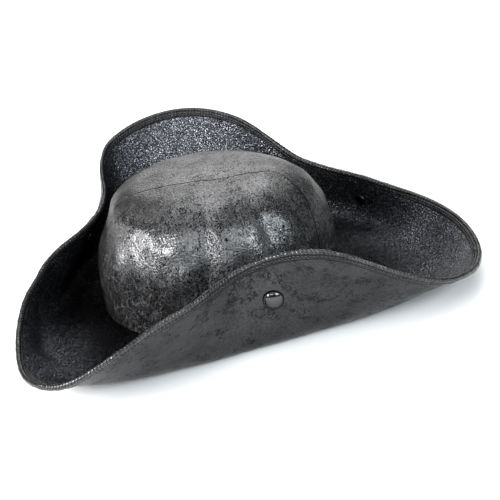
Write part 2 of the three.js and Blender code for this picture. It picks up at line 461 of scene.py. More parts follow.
    def crown_dent(self, turn: np.ndarray, level: np.ndarray) -> np.ndarray:
        """Sum of the dents less the swells.

        Each is depth x exp(-(turn apart / half turn)^2 - (level apart / half level)^2).

        Args:
            turn: shares of a full turn.
            level: heights as shares of the crown's.

        Returns:
            The depth at each place.
        """
        rows = np.concatenate([np.asarray(self.dents), np.asarray(self.swells)])
        depth = np.concatenate([
            self.head_width * np.asarray(self.dents)[:, 4], -np.asarray(self.swells)[:, 4],
        ])
        apart = turn[..., None] - rows[:, 0]
        apart = (apart - np.round(apart)) / rows[:, 1]
        upward = (level[..., None] - rows[:, 2]) / rows[:, 3]
        return (depth * np.exp(-(apart ** 2) - upward ** 2)).sum(axis=-1)

    def crown_level(self, turn: np.ndarray, share: np.ndarray) -> np.ndarray:
        """Outline of the crown: (head radius x spread, crown height x level) at a share of the outline."""
        out = self.head_radius(turn) * read_along(self.crown_spread, share)
        return np.stack([out, self.crown_height * read_along(self.crown_levels, share)], axis=-1)

    def crown_point(self, turn: np.ndarray, share: np.ndarray, inward: float) -> np.ndarray:
        """Places in the crown: up the outline, then inward through the leather, pushed in by the dents.

        Args:
            turn: shares of a full turn.
            share: shares of the outline from the brim to the top.
            inward: depth below the outer face.

        Returns:
            Points.
        """
        here = self.crown_level(turn, share)
        nudge = 0.01
        ahead = self.crown_level(turn, np.minimum(share + nudge, 1))
        along = unit(ahead - self.crown_level(turn, np.maximum(share - nudge, 0)))
        level = here[..., 1] / self.crown_height
        push = inward + self.crown_dent(turn, level)
        angle = 2 * np.pi * turn
        rough = np.stack([here[..., 0] * np.cos(angle), here[..., 0] * np.sin(angle), here[..., 1]], axis=-1)
        push = push + self.crown_wave * self.crown_ripple.at(rough) * ease(*self.crown_wave_levels, level)
        out = np.maximum(here[..., 0] - push * along[..., 1], 0)
        lean = self.head_length * read_along(self.crown_lean, share)
        up = self.crown_foot + np.maximum(here[..., 1] - inward * np.abs(along[..., 0]), 0)
        x = lean + out * np.cos(angle) + self.head_centre[0]
        y = out * np.sin(angle) + self.head_centre[1]
        return np.stack([x, y, up], axis=-1)


class Socket:
    """A node's output that takes part in sums: each operator adds a Math node."""

    def __init__(self, bench: "Bench", link: bpy.types.NodeSocket) -> None:
        """Wraps an output socket of a bench's node."""
        self.bench = bench
        self.link = link

    def _math(self, operation: str, *parts: "Number") -> "Socket":
        """Adds a Math node on the parts."""
        return self.bench.add("ShaderNodeMath", {"operation": operation}, dict(enumerate(parts)), 0)

    def __add__(self, other: "Number") -> "Socket":
        """Sum."""
        return self._math("ADD", self, other)

    def __radd__(self, other: "Number") -> "Socket":
        """Sum, reflected."""
        return self._math("ADD", other, self)

    def __sub__(self, other: "Number") -> "Socket":
        """Difference."""
        return self._math("SUBTRACT", self, other)

    def __rsub__(self, other: "Number") -> "Socket":
        """Difference, reflected."""
        return self._math("SUBTRACT", other, self)

    def __mul__(self, other: "Number") -> "Socket":
        """Product."""
        return self._math("MULTIPLY", self, other)

    def __rmul__(self, other: "Number") -> "Socket":
        """Product, reflected."""
        return self._math("MULTIPLY", other, self)

    def __truediv__(self, other: "Number") -> "Socket":
        """Quotient."""
        return self._math("DIVIDE", self, other)

    def __abs__(self) -> "Socket":
        """Size without sign."""
        return self._math("ABSOLUTE", self)

    def larger(self, other: "Number") -> "Socket":
        """The larger of the two."""
        return self._math("MAXIMUM", self, other)

    def smaller(self, other: "Number") -> "Socket":
        """The smaller of the two."""
        return self._math("MINIMUM", self, other)

    def ease(self, low: "Number", high: "Number") -> "Socket":
        """Smooth step from 0 at low to 1 at high."""
        settings = {"interpolation_type": "SMOOTHSTEP"}
        return self.bench.add("ShaderNodeMapRange", settings, {0: self, 1: low, 2: high, 3: 0.0, 4: 1.0}, 0)


Number = Union[Socket, float]


class Bench:
    """One material's nodes."""

    def __init__(self, name: str) -> None:
        """Starts a material with one principled shader.

        Args:
            name: the material's name.
        """
        self.material = bpy.data.materials.new(name)
        self.material.use_nodes = True
        self.tree = self.material.node_tree
        self.tree.nodes.clear()
        self.shader = self.tree.nodes.new("ShaderNodeBsdfPrincipled")
        output = self.tree.nodes.new("ShaderNodeOutputMaterial")
        self.tree.links.new(self.shader.outputs[0], output.inputs["Surface"])

    def add(self, kind: str, settings: dict, inputs: dict, output: Union[int, str]) -> Socket:
        """Adds any node.

        Args:
            kind: the node's type.
            settings: properties set first; the key stops holds a ramp's (place, colour) pairs.
            inputs: socket names or numbers with their values or links.
            output: the output wanted.

        Returns:
            That output.
        """
        node = self.tree.nodes.new(kind)
        for key, value in settings.items():
            if key == "stops":
                self._ramp(node, value)
            else:
                setattr(node, key, value)
        for key, value in inputs.items():
            self.feed(node.inputs[key], value)
        return Socket(self, node.outputs[output])

    @staticmethod
    def _ramp(node: bpy.types.Node, stops: tuple) -> None:
        """Sets a ramp's stops.

        Args:
            node: the ramp's node.
            stops: places from 0 to 1 with their colours.
        """
        while len(node.color_ramp.elements) < len(stops):
            node.color_ramp.elements.new(0.5)
        for element, (place, colour) in zip(node.color_ramp.elements, stops):
            element.position = place
            element.color = (*colour, 1)

    def feed(self, socket: bpy.types.NodeSocket, value: Union[Number, Colour]) -> None:
        """Links a socket to an output or sets its value.

        Args:
            socket: a node's input.
            value: another node's output, a number, a colour or a vector.
        """
        if isinstance(value, Socket):
            self.tree.links.new(value.link, socket)
        elif isinstance(value, tuple) and socket.type == "RGBA":
            socket.default_value = (*value, 1)
        else:
            socket.default_value = value

    def finish(self, **sockets: Union[Number, Colour]) -> bpy.types.Material:
        """Feeds the shader's sockets.

        Args:
            sockets: socket names with underscores for spaces, and their values.

        Returns:
            The material.
        """
        for name, value in sockets.items():
            self.feed(self.shader.inputs[name.replace("_", " ")], value)
        return self.material

    def place(self) -> Socket:
        """Object coordinates, in metres."""
        return self.add("ShaderNodeTexCoord", {}, {}, "Object")

    def axis(self, where: Socket, name: str) -> Socket:
        """The X, Y or Z of coordinates."""
        return self.add("ShaderNodeSeparateXYZ", {}, {0: where}, name)

    def mark(self, name: str) -> Socket:
        """A named value on the mesh's points."""
        settings = {"attribute_type": "GEOMETRY", "attribute_name": name}
        return self.add("ShaderNodeAttribute", settings, {}, "Fac")

    def noise(self, where: Socket, size: float, detail: float = 2.0, rough: float = 0.5) -> Socket:
        """Cloudy noise whose patches are about size metres across."""
        inputs = {"Vector": where, "Scale": 1 / size, "Detail": detail, "Roughness": rough}
        return self.add("ShaderNodeTexNoise", {"noise_dimensions": "3D"}, inputs, 0)

    def cells(self, where: Socket, size: float) -> Socket:
        """Distance from the middle of the nearest of many cells about size metres across."""
        settings = {"voronoi_dimensions": "3D", "feature": "F1"}
        return self.add("ShaderNodeTexVoronoi", settings, {"Vector": where, "Scale": 1 / size}, "Distance")

    def warped(self, where: Socket, size: float, push: float) -> Socket:
        """Coordinates pushed about by a coloured noise.

        Args:
            where: the coordinates.
            size: how wide the swirls are, in metres.
            push: how far they push, in metres.

        Returns:
            The pushed coordinates: where + push x (noise colour - a half).
        """
        inputs = {"Vector": where, "Scale": 1 / size, "Detail": 2.0}
        swirl = self.add("ShaderNodeTexNoise", {"noise_dimensions": "3D"}, inputs, 1)
        centred = self.add("ShaderNodeVectorMath", {"operation": "SUBTRACT"}, {0: swirl, 1: (.5, .5, .5)}, 0)
        scaled = self.add("ShaderNodeVectorMath", {"operation": "SCALE"}, {0: centred, "Scale": push}, 0)
        return self.add("ShaderNodeVectorMath", {"operation": "ADD"}, {0: where, 1: scaled}, 0)

    def blend(self, mask: Number, first: Union[Socket, Colour], second: Union[Socket, Colour]) -> Socket:
        """The first colour where mask is 0 and the second where it is 1."""
        settings = {"data_type": "RGBA", "clamp_factor": True}
        return self.add("ShaderNodeMix", settings, {0: mask, 6: first, 7: second}, 2)

    def bump(
        self, height: Number, depth: float, strength: float, under: Union[Socket, None] = None
    ) -> Socket:
        """Relief from a height of 0 to 1 that is depth metres deep.

        Args:
            height: the height at each place.
            depth: metres between a height of 0 and one of 1.
            strength: how much of the relief shows, 0 to 1.
            under: the relief that it lies on, if any.

        Returns:
            The normal.
        """
        inputs = {"Height": height, "Distance": depth, "Strength": strength}
        if under is not None:
            inputs["Normal"] = under
        return self.add("ShaderNodeBump", {}, inputs, 0)


def scaled(colour: Colour, share: float) -> Colour:
    """A colour with each part multiplied by a share."""
    return tuple(share * part for part in colour)


@dataclass
class Surface:
    """What a leather has built so far: its colour, how much film covers it, and its relief."""

    colour: Socket
    film: Socket
    relief: Socket


@dataclass(frozen=True)
class LeatherFinish:
    """Coated leather: a thin glossy film over black, torn into fine fibres and crossed by veins.

    film is the film's colour and ground the black where it is gone. lining is the pebbled inside of the
    brim, with painted glints and painted shade, and thread the dull threads that cross the crown's
    ground. kept is how much film is left, 0 to 1, kept_and_painted_light_by_height adds to it up to
    crown_top, partly as painted light and shade, and wear is how much a broad noise changes it. middle
    is the x that the crown's front and back ends, where shade is painted, are measured from. creases
    are the values of the mark creased_mark where a dark line of painted shade lies, drawn_mark names
    the mark of what the stitches draw in, where shade is painted too, and seamed leather has the
    crown's two seams. A size is how wide a noise's patches are, and a range or patches is where a
    noise's change starts and ends, as are pairs of lengths or heights. A bend is how wide and how far
    coordinates swirl, as shares of a size, and a fade is how fast a line thins out. Pairs of shades are
    shares of a colour. Lengths are in metres.
    """

    name: str
    film: Colour = (0.0505, 0.0505, 0.0515)
    film_shades: tuple[float, float] = (1.2, 0.6)
    film_roughness: float = 0.30
    film_depth: float = 0.00012
    speckle_size: float = 0.0016
    speckle_range: tuple[float, float] = (0.36, 0.64)
    cloud_size: float = 0.022
    cloud_range: tuple[float, float] = (0.3, 0.75)
    cloud_roughness: float = 0.14
    ground: Colour = (0.0020, 0.0020, 0.0023)
    ground_roughness: float = 0.48
    ground_gloss: float = 0.16
    edge_tint: Colour = (1.0, 1.0, 1.0)
    kept: float = 1.45
    # Film added by height on the crown, partly painted light and shade.
    kept_and_painted_light_by_height: tuple[tuple[float, Colour], ...] = ()
    kept_limits: tuple[float, float] = (0.05, 1.5)
    crown_top: float = 0.1
    wear: float = 2.2
    wear_size: float = 0.015
    wear_squash: Colour = (1, 1, 0.4)
    middle: float = 0.0
    # Painted shade on the crown's front and back ends: how far from middle and up to which heights, how much
    # film it takes away and how much it darkens the film.
    end_reach: tuple[float, float] = (0.058, 0.084)
    end_heights: tuple[float, float] = (0.082, 0.100)
    end_shade_film_loss: float = 0.5
    end_shade: float = 0.8
    # Painted shade: heights over which the crown's film darkens towards its foot, and how dark it gets
    # there.
    foot_heights: tuple[float, float] = (0.026, 0.068)
    foot_shade: float = 0.32
    fibre_size: float = 0.0021
    fibre_run: float = 3.0
    fibre_bend: tuple[float, float] = (2.3, 1.7)
    fibre_fade: float = 8.0
    fibre_torn: tuple[float, float] = (0.10, 0.03)
    fibre_turns: tuple[Colour, ...] = ((0.5, 0.3, 0.2), (-0.6, 0.5, 1.1), (0.1, -0.8, 2.3))
    thread: Colour = (0.0, 0.0, 0.0)
    thread_size: float = 0.0050
    thread_run: float = 5.0
    thread_range: tuple[float, float] = (0.90, 0.975)
    thread_patch: float = 0.012
    thread_patches: tuple[float, float] = (0.34, 0.54)
    thread_least: float = 0.15
    vein_size: float = 0.011
    vein_share: float = 1.0
    vein_bend: tuple[float, float] = (0.5, 0.6)
    vein_fade: tuple[float, float] = (10.0, 6.0)
    vein_branch: float = 0.4
    vein_range: tuple[float, float] = (0.05, 0.34)
    vein_patch: float = 0.018
    vein_patches: tuple[float, float] = (0.47, 0.56)
    swell_size: float = 0.007
    swell_depth: float = 0.0009
    grain_size: float = 0.0015
    grain_depth: float = 0.00020
    grain_warp: float = 0.0006
    wrinkle_size: float = 0.0036
    wrinkle: float = 0.0
    lined: bool = False
    lining: Colour = (0.0465, 0.048, 0.054)
    # Dark and bright shares of the lining; the bright one paints the pebbles' glints.
    lining_shades: tuple[float, float] = (0.50, 3.4)
    lining_metal: float = 0.88
    lining_grain: float = 3.0
    lining_roughness: float = 0.25
    lining_veins: float = 0.3
    pebble_size: float = 0.0014
    pebble_range: tuple[float, float] = (0.47, 0.62)
    # The lining's painted shade: distances from the edge over which it falls to black, and how far.
    deep_inside: tuple[float, float] = (0.034, 0.084)
    deep_share: float = 0.90
    seamed: bool = False
    seam_wander: float = 0.0022
    seam_wander_size: float = 0.004
    seam_sides: tuple[float, float] = (0.0002, 0.0013)
    front_seam_sides: tuple[float, float] = (0.0001, 0.0010)
    seam_depth: float = 0.0005
    creased_mark: str = ""
    creases: tuple[float, ...] = ()
    crease_sides: tuple[float, float] = (0.0003, 0.0013)
    crease_depth: float = 0.0004
    drawn_mark: str = ""
    drawn_shade: float = 0.9

    def fibres(self, bench: Bench, where: Socket, size: float, run: float) -> Socket:
        """Torn fibres: noises that are drawn out along crossing directions, near their middle value.

        Args:
            bench: the material's nodes.
            where: coordinates in metres.
            size: how far apart the fibres are, in metres.
            run: how many times longer than that they run straight.

        Returns:
            1 along the middle of a fibre, falling to 0 away from it.
        """
        swirl, push = self.fibre_bend
        bent = bench.warped(where, size * swirl, size * push)
        found: Number = 0.0
        for turned in self.fibre_turns:
            inputs = {"Vector": bent, "Rotation": turned, "Scale": (1.0, 1.0, run)}
            drawn = bench.add("ShaderNodeMapping", {"vector_type": "TEXTURE"}, inputs, 0)
            apart = abs(bench.noise(drawn, size, 2.0, 0.55) - 0.5)
            found = (1.0 - apart * self.fibre_fade).larger(found)
        return found

    def ends(self, bench: Bench, where: Socket) -> Socket:
        """Where shade is painted: 1 low on the crown's front and back ends, and 0 between them and on top.

        Args:
            bench: the material's nodes.
            where: coordinates in metres.

        Returns:
            The share at each place.
        """
        beside = abs(bench.axis(where, "X") - self.middle)
        height = bench.axis(where, "Z")
        return beside.ease(*self.end_reach) * (1.0 - height.ease(*self.end_heights))

    def film_left(self, bench: Bench, where: Socket) -> Socket:
        """The film that wear leaves, from whole sheets to single fibres.

        How much is left is read from the height and from a broad noise that is drawn out upright, so
        worn places run downwards. The fibres' noise is cut at one less half of that. The height's share
        is partly painted light and shade, and less film is kept low on the crown's ends as painted shade.

        Args:
            bench: the material's nodes.
            where: coordinates in metres.

        Returns:
            1 on the film and 0 where it is gone.
        """
        inputs = {0: where, 1: self.wear_squash}
        drawn = bench.add("ShaderNodeVectorMath", {"operation": "MULTIPLY"}, inputs, 0)
        left = (bench.noise(drawn, self.wear_size, 4.0, 0.6) - 0.5) * self.wear + self.kept
        if self.kept_and_painted_light_by_height:
            height = bench.axis(where, "Z") / self.crown_top
            # Painted light and shade: the height table keeps film where highlights fall and takes it away
            # where shade falls.
            left = left + bench.add("ShaderNodeValToRGB", {"stops": self.kept_and_painted_light_by_height}, {0: height}, 0)
            # Painted shade: less film is kept low on the crown's ends.
            left = left - self.ends(bench, where) * self.end_shade_film_loss
        least, most = self.kept_limits
        cut = 1.0 - left.larger(least).smaller(most) * 0.5
        below, above = self.fibre_torn
        return self.fibres(bench, where, self.fibre_size, self.fibre_run).ease(cut - below, cut + above)

    def threads(self, bench: Bench, where: Socket) -> Socket:
        """Longer dull threads in uneven patches: 1 on a thread and 0 beside it.

        Args:
            bench: the material's nodes.
            where: coordinates in metres.

        Returns:
            The share at each place.
        """
        patch = bench.noise(where, self.thread_patch, 3.0).ease(*self.thread_patches)
        patch = patch * (1.0 - self.thread_least) + self.thread_least
        found = self.fibres(bench, where, self.thread_size, self.thread_run)
        return found.ease(*self.thread_range) * patch

    def veins(self, bench: Bench, where: Socket) -> Socket:
        """Longer dark veins: thin shells of two larger noises, torn into short runs.

        Args:
            bench: the material's nodes.
            where: coordinates in metres.

        Returns:
            1 in a vein and 0 beside it.
        """
        swirl, push = self.vein_bend
        drifting = bench.warped(where, self.vein_size * swirl, self.vein_size * push)
        long = abs(bench.noise(drifting, self.vein_size, 4.0, 0.6) - 0.5) * self.vein_fade[0]
        branch = self.vein_size * self.vein_branch
        short = abs(bench.noise(drifting, branch, 3.0, 0.6) - 0.5) * self.vein_fade[1]
        torn = bench.noise(where, self.vein_patch, 4.0, 0.7).ease(*self.vein_patches)
        return (1.0 - long.smaller(short).ease(*self.vein_range)) * torn * self.vein_share

    def film_colour(self, bench: Bench, where: Socket, cloud: Socket) -> Socket:
        """The film's colour, which is duller in clouds and in fine speckles.

        Args:
            bench: the material's nodes.
            where: coordinates in metres.
            cloud: the cloudy noise.

        Returns:
            The colour.
        """
        speckle = bench.noise(where, self.speckle_size, 2.0, 0.6)
        dull = cloud.ease(*self.cloud_range) * 0.5 + speckle.ease(*self.speckle_range) * 0.5
        bright, faint = (scaled(self.film, share) for share in self.film_shades)
        return bench.blend(dull, bright, faint)

    def lining_colour(self, bench: Bench, where: Socket) -> Socket:
        """The colour of the brim's inside: pebbles with painted glints, and painted shade that fades it to
        black away from the edge.

        Args:
            bench: the material's nodes.
            where: coordinates in metres.

        Returns:
            The colour.
        """
        # Painted glints: bright spots in the colour stand in for the pebbles' glints.
        painted_glint = bench.noise(where, self.pebble_size, 2.0, 0.7).ease(*self.pebble_range)
        dark, bright = (scaled(self.lining, share) for share in self.lining_shades)
        pebbled = bench.blend(painted_glint, dark, bright)
        # Painted shade: the lining falls to the ground's black away from the edge, towards the crown.
        deep = bench.mark("edge").ease(*self.deep_inside) * self.deep_share
        return bench.blend(deep, pebbled, self.ground)

    def paint_shade(self, bench: Bench, where: Socket, film: Socket) -> Socket:
        """The crown's film with painted shade: darker towards its foot and low on its front and back ends.

        Args:
            bench: the material's nodes.
            where: coordinates in metres.
            film: the film's colour.

        Returns:
            The darker colour.
        """
        # Painted shade: the film's colour darkens towards the crown's foot and low on its ends.
        lit = bench.axis(where, "Z").ease(*self.foot_heights)
        lit = lit * (1.0 - self.ends(bench, where) * self.end_shade)
        return bench.blend(lit, scaled(self.film, self.foot_shade), film)

    def relief(self, bench: Bench, where: Socket, film: Socket, inside: Number) -> Socket:
        """The leather's relief: soft swells, wrinkles, the film's thickness and the grain.

        Args:
            bench: the material's nodes.
            where: coordinates in metres.
            film: 1 on the film.
            inside: 1 on the pebbled inside, whose grain is deeper.

        Returns:
            The normal.
        """
        relief = bench.bump(bench.noise(where, self.swell_size, 2.0, 0.5), self.swell_depth, 0.35)
        if self.wrinkle:
            wrinkles = bench.noise(where, self.wrinkle_size, 4.0, 0.65)
            relief = bench.bump(wrinkles, self.wrinkle, 0.8, relief)
        relief = bench.bump(film, self.film_depth, 0.6, relief)
        grain = bench.cells(bench.warped(where, self.grain_size * 2, self.grain_warp), self.grain_size)
        deeper = inside * self.lining_grain + 1.0
        return bench.bump((1.0 - grain) * deeper, self.grain_depth, 0.8, relief)

    def cut_seams(self, bench: Bench, where: Socket, surface: Surface) -> None:
        """Cuts the crown's seams: dark grooves that wander a little about their marks.

        Args:
            bench: the material's nodes.
            where: coordinates in metres.
            surface: what is built so far, which is changed.
        """
        wander = (bench.noise(where, self.seam_wander_size, 2.0) - 0.5) * self.seam_wander
        groove = abs(bench.mark("seam") + wander).ease(*self.seam_sides)
        groove = groove * abs(bench.mark("front_seam") + wander).ease(*self.front_seam_sides)
        surface.colour = bench.blend(groove, self.ground, surface.colour)
        surface.relief = bench.bump(groove, self.seam_depth, 0.9, surface.relief)

    def press_crease(self, bench: Bench, place: float, surface: Surface) -> None:
        """Presses a groove where the crease mark has one value, with a dark line of painted shade in it.

        Args:
            bench: the material's nodes.
            place: the mark's value in the middle of the line.
            surface: what is built so far, which is changed.
        """
        crease = abs(bench.mark(self.creased_mark) - place).ease(*self.crease_sides)
        # Painted shade: the crease's colour falls to the ground's black and its film goes.
        surface.colour = bench.blend(crease, self.ground, surface.colour)
        surface.relief = bench.bump(crease, self.crease_depth, 0.8, surface.relief)
        surface.film = surface.film * crease

    def draw_in(self, bench: Bench, surface: Surface) -> None:
        """Paints shade into the dips that the stitches draw in.

        Args:
            bench: the material's nodes.
            surface: what is built so far, which is changed.
        """
        # Painted shade: the drawn-in dips take the ground's black and lose their film.
        drawn = bench.mark(self.drawn_mark) * self.drawn_shade
        surface.colour = bench.blend(drawn, surface.colour, self.ground)
        surface.film = surface.film * (1.0 - drawn)

    def material(self) -> bpy.types.Material:
        """Builds the leather's nodes: the film where nothing breaks it, the ground elsewhere.

        Returns:
            The material.
        """
        bench = Bench(self.name)
        where = bench.place()
        inside = bench.mark("upper").ease(0.4, 0.6) if self.lined else 0.0
        whole = self.film_left(bench, where).larger(inside)
        film = whole * (1.0 - self.veins(bench, where) * (1.0 - inside * (1.0 - self.lining_veins)))
        cloud = bench.noise(where, self.cloud_size, 3.0, 0.6)
        worn = self.film_colour(bench, where, cloud)
        under: Union[Socket, Colour] = self.ground
        if self.lined:
            worn = bench.blend(inside, worn, self.lining_colour(bench, where))
        # On the crown, painted shade darkens the film and dull threads cross its ground.
        if self.kept_and_painted_light_by_height:
            worn = self.paint_shade(bench, where, worn)
            under = bench.blend(self.threads(bench, where), self.ground, self.thread)
        rough = film * (self.film_roughness - self.ground_roughness) + self.ground_roughness
        rough = rough + (cloud - 0.5) * self.cloud_roughness
        rough = rough - inside * (self.film_roughness - self.lining_roughness)
        relief = self.relief(bench, where, film, inside)
        surface = Surface(bench.blend(film, under, worn), film, relief)
        if self.seamed:
            self.cut_seams(bench, where, surface)
        for place in self.creases:
            self.press_crease(bench, place, surface)
        if self.drawn_mark:
            self.draw_in(bench, surface)
        metal = surface.film * (1.0 - inside * (1.0 - self.lining_metal))
        return bench.finish(
            Base_Color=surface.colour, Roughness=rough, Metallic=metal, Normal=surface.relief,
            Specular_IOR_Level=self.ground_gloss, Specular_Tint=self.edge_tint,
        )


@dataclass(frozen=True)
class ThreadFinish:
    """Waxed black thread with a faint twist."""

    name: str = "waxed_thread"
    dark: Colour = (0.012, 0.012, 0.013)
    bright: Colour = (0.05, 0.05, 0.052)
    strand_size: float = 0.0004
    strand_depth: float = 0.0001
    roughness: tuple[float, float] = (0.35, 0.2)

    def material(self) -> bpy.types.Material:
        """Builds the thread's nodes: a fine noise stands for the strands.

        Returns:
            The material.
        """
        bench = Bench(self.name)
        strands = bench.noise(bench.place(), self.strand_size, 1.0)
        least, more = self.roughness
        return bench.finish(
            Base_Color=bench.blend(strands, self.dark, self.bright), Roughness=strands * more + least,
            Normal=bench.bump(strands, self.strand_depth, 0.5),
        )


@dataclass(frozen=True)
class MetalFinish:
    """Black lacquered metal, worn slightly in patches, with painted shadow darkening into its lip."""

    name: str = "lacquered_metal"
    lacquer: Colour = (0.075, 0.075, 0.078)
    worn: Colour = (0.16, 0.16, 0.16)
    # Painted shadow: the cap darkens into its lip between these shares of its radius.
    lip: Colour = (0.006, 0.006, 0.006)
    lip_reach: tuple[float, float] = (0.87, 0.91)
    cloud_size: float = 0.004
    cloud_depth: float = 0.00005
    wear_size: float = 0.0012
    wear_range: tuple[float, float] = (0.55, 0.75)
    # Roughness where it is new, and what clouds and wear add to it.
    roughness: tuple[float, float, float] = (0.12, 0.08, 0.1)

    def material(self) -> bpy.types.Material:
        """Builds the metal's nodes: fine scratches and cloudy wear change its gloss.

        Returns:
            The material.
        """
        bench = Bench(self.name)
        where = bench.place()
        cloud = bench.noise(where, self.cloud_size, 3.0)
        wear = bench.noise(where, self.wear_size, 3.0, 0.7).ease(*self.wear_range)
        colour = bench.blend(wear * 0.5, self.lacquer, self.worn)
        # Painted shadow at the cap's lip.
        colour = bench.blend(bench.mark("reach").ease(*self.lip_reach), colour, self.lip)
        new, clouded, scuffed = self.roughness
        return bench.finish(
            Base_Color=colour, Roughness=cloud * clouded + new + wear * scuffed,
            Normal=bench.bump(cloud, self.cloud_depth, 0.3), Metallic=1.0,
        )


class Fitting(Enum):
    """Where each snap goes through its flap: turn, and drop below the edge as a share of the brim."""

    NEAR = ("snap_near", 0.838, 0.30)
    BACK = ("snap_back", 0.455, 0.35)
    FAR = ("snap_far", 0.132, 0.21)


def settle(piece: bpy.types.Object, node: str, material: bpy.types.Material) -> None:
    """Puts a piece on the frame.

    Args:
        piece: the finished piece.
        node: the node it stands for, or an empty text for none.
        material: its finish.
    """
    piece.data.materials.append(material)
    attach(piece, "root")
    if node:
        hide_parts(node)
    LOG.info("%s: %d faces", piece.name, len(piece.data.polygons))


@dataclass
class Brim:
    """The wide brim with its three flaps, as one closed wall of leather."""

    form: HatForm
    columns: int = 560
    rows: int = 56
    edge_steps: int = 7

    def shape(self) -> Shape:
        """Builds the wall.

        Rings run out along the outer face, round the edge in a half circle, and back along the inner
        face. The rings' distances are even shares of each cut's length.

        Returns:
            The closed shape, with its distance from the edge and its face marked.
        """
        form = self.form
        turn = np.arange(self.columns) / self.columns
        cut = form.cut(turn)
        half = form.brim_wall / 2
        share = np.linspace(0, 1, self.rows)
        sweep = np.linspace(-np.pi / 2, np.pi / 2, self.edge_steps)
        reach = (cut.length - half)[:, None]
        straight = reach * share
        nose = reach + half * np.cos(sweep)
        distance = np.concatenate([straight, nose[:, 1:-1], straight[:, ::-1]], axis=1)
        depth = np.concatenate([
            np.zeros(self.rows), half + half * np.sin(sweep[1:-1]), np.full(self.rows, form.brim_wall),
        ])
        inward = np.broadcast_to(depth, distance.shape)
        points = form.brim_point(cut, distance, inward).transpose(1, 0, 2)
        rows = points.shape[0]
        edge = (cut.length[:, None] - distance).T
        marks = {"edge": edge.ravel(), "upper": (inward / form.brim_wall).T.ravel()}
        return Shape(points.reshape(-1, 3), loop_faces(rows, self.columns, True), marks=marks)

    def finish(self) -> LeatherFinish:
        """The brim's leather, with a pressed crease just past the binding's free edge whose dark line is
        painted shadow.

        Returns:
            The finish.
        """
        # Painted shadow: a dark line where the binding's free edge steps onto the brim.
        crease = self.form.seat_gap - self.form.binding_back
        return LeatherFinish(
            "brim_leather_film", edge_tint=(0.8, 0.8, 0.8), lined=True,
            creased_mark="edge", creases=(crease,),
        )

    def dress(self) -> None:
        """Makes the brim and puts it on the frame."""
        piece = self.shape().piece("brim_leather_shell")
        settle(piece, "brim", self.finish().material())


@dataclass
class Crown:
    """The soft oval crown, as one closed wall of leather with its seams."""

    form: HatForm
    columns: int = 360
    rows: int = 116
    inner_rows: int = 40
    # The top seam's y at every 20 mm of x, in millimetres from the head's centre.
    seam_places: tuple[float, ...] = (-33, -32, -30, -27, -25, -22, -18.5, -7, 0, -15.5, -45)
    seam_reach: float = 0.100
    # The front seam: how far it stands to the left at one height, how much it leans, and where it runs.
    front_aside: float = 0.003
    front_height: float = 0.06
    front_lean: float = 0.1
    front_from: tuple[float, float] = (0.020, 0.045)
    front_low: tuple[float, float] = (0.030, 0.048)
    front_high: tuple[float, float] = (0.074, 0.084)
    front_push: float = 0.02
    # How much of the film is left, by height. Partly painted light and shade: film is kept at the heights
    # where highlights fall and taken away in the dark band under the top and low down, where shade falls.
    kept: tuple[tuple[float, float], ...] = (
        (0.0, 0.0), (0.34, 0.0), (0.48, 0.06), (0.59, 0.58), (0.77, 0.60), (0.84, 0.00), (0.94, 0.66),
    )

    def seam(self, points: np.ndarray) -> np.ndarray:
        """Signed distance from the seam over the crown.

        The seam is where y equals a smooth curve of x, so the distance is about the difference in y
        over the length of (1, slope).

        Args:
            points: places on the crown.

        Returns:
            The distance at each.
        """
        x = points[..., 0] - self.form.head_centre[0]
        y = points[..., 1] - self.form.head_centre[1]
        values = tuple(MM * place for place in self.seam_places)

        def curve(value: np.ndarray) -> np.ndarray:
            """The seam's y at x."""
            return read_along(values, (value + self.seam_reach) / (2 * self.seam_reach))

        slope = (curve(x + MM) - curve(x - MM)) / (2 * MM)
        return (y - curve(x)) / np.hypot(1, slope)

    def front_seam(self, points: np.ndarray) -> np.ndarray:
        """Signed distance from the short upright seam on the crown's front.

        Past the seam's ends the distance is pushed away from 0, so the seam fades.

        Args:
            points: places on the crown.

        Returns:
            The distance at each.
        """
        x, y, z = points[..., 0], points[..., 1], points[..., 2]
        lean = self.front_lean * (z - self.front_height)
        aside = y - self.form.head_centre[1] - self.front_aside - lean
        upright = ease(*self.front_low, z) * (1 - ease(*self.front_high, z))
        past = 1 - ease(*self.front_from, x) * upright
        return aside + np.where(aside < 0, -self.front_push, self.front_push) * past

    def shape(self) -> Shape:
        """Builds the wall: rings down the inner face and up the outer one, closed at both tops.

        Returns:
            The closed shape, with its distances from the two seams marked.
        """
        form = self.form
        turn = np.arange(self.columns) / self.columns
        inner = np.linspace(1, 0, self.inner_rows + 1)[1:]
        outer = np.linspace(0, 1, self.rows + 1)[:-1]
        inner_grid = form.crown_point(*np.broadcast_arrays(turn[None, :], inner[:, None]), form.crown_wall)
        outer_grid = form.crown_point(*np.broadcast_arrays(turn[None, :], outer[:, None]), 0.0)
        top = np.array([0.0])
        low = form.crown_point(top, np.array([1.0]), form.crown_wall)[0]
        high = form.crown_point(top, np.array([1.0]), 0.0)[0]
        shape = capped(np.concatenate([inner_grid, outer_grid]), low, high)
        shape.marks["seam"] = self.seam(shape.points)
        shape.marks["front_seam"] = self.front_seam(shape.points)
        return shape

    def finish(self) -> LeatherFinish:
        """The crown's leather: bright worn film, partly kept and darkened as painted light and shade, dull
        threads on its ground, and its seams.

        Returns:
            The finish.
        """
        return LeatherFinish(
            "crown_leather_film", film=(0.150, 0.150, 0.152), film_roughness=0.31,
            ground_gloss=0.06, ground_roughness=0.34, thread=(0.085, 0.085, 0.087), vein_share=0.3,
            grain_depth=0.0004, wrinkle=0.00022, seamed=True, kept=0.0,
            kept_and_painted_light_by_height=tuple((place, (left,) * 3) for place, left in self.kept),
            crown_top=self.form.crown_foot + self.form.crown_height, middle=self.form.head_centre[0],
        )

    def dress(self) -> None:
        """Makes the crown and puts it on the frame."""
        piece = self.shape().piece("crown_leather_shell")
        settle(piece, "crown", self.finish().material())


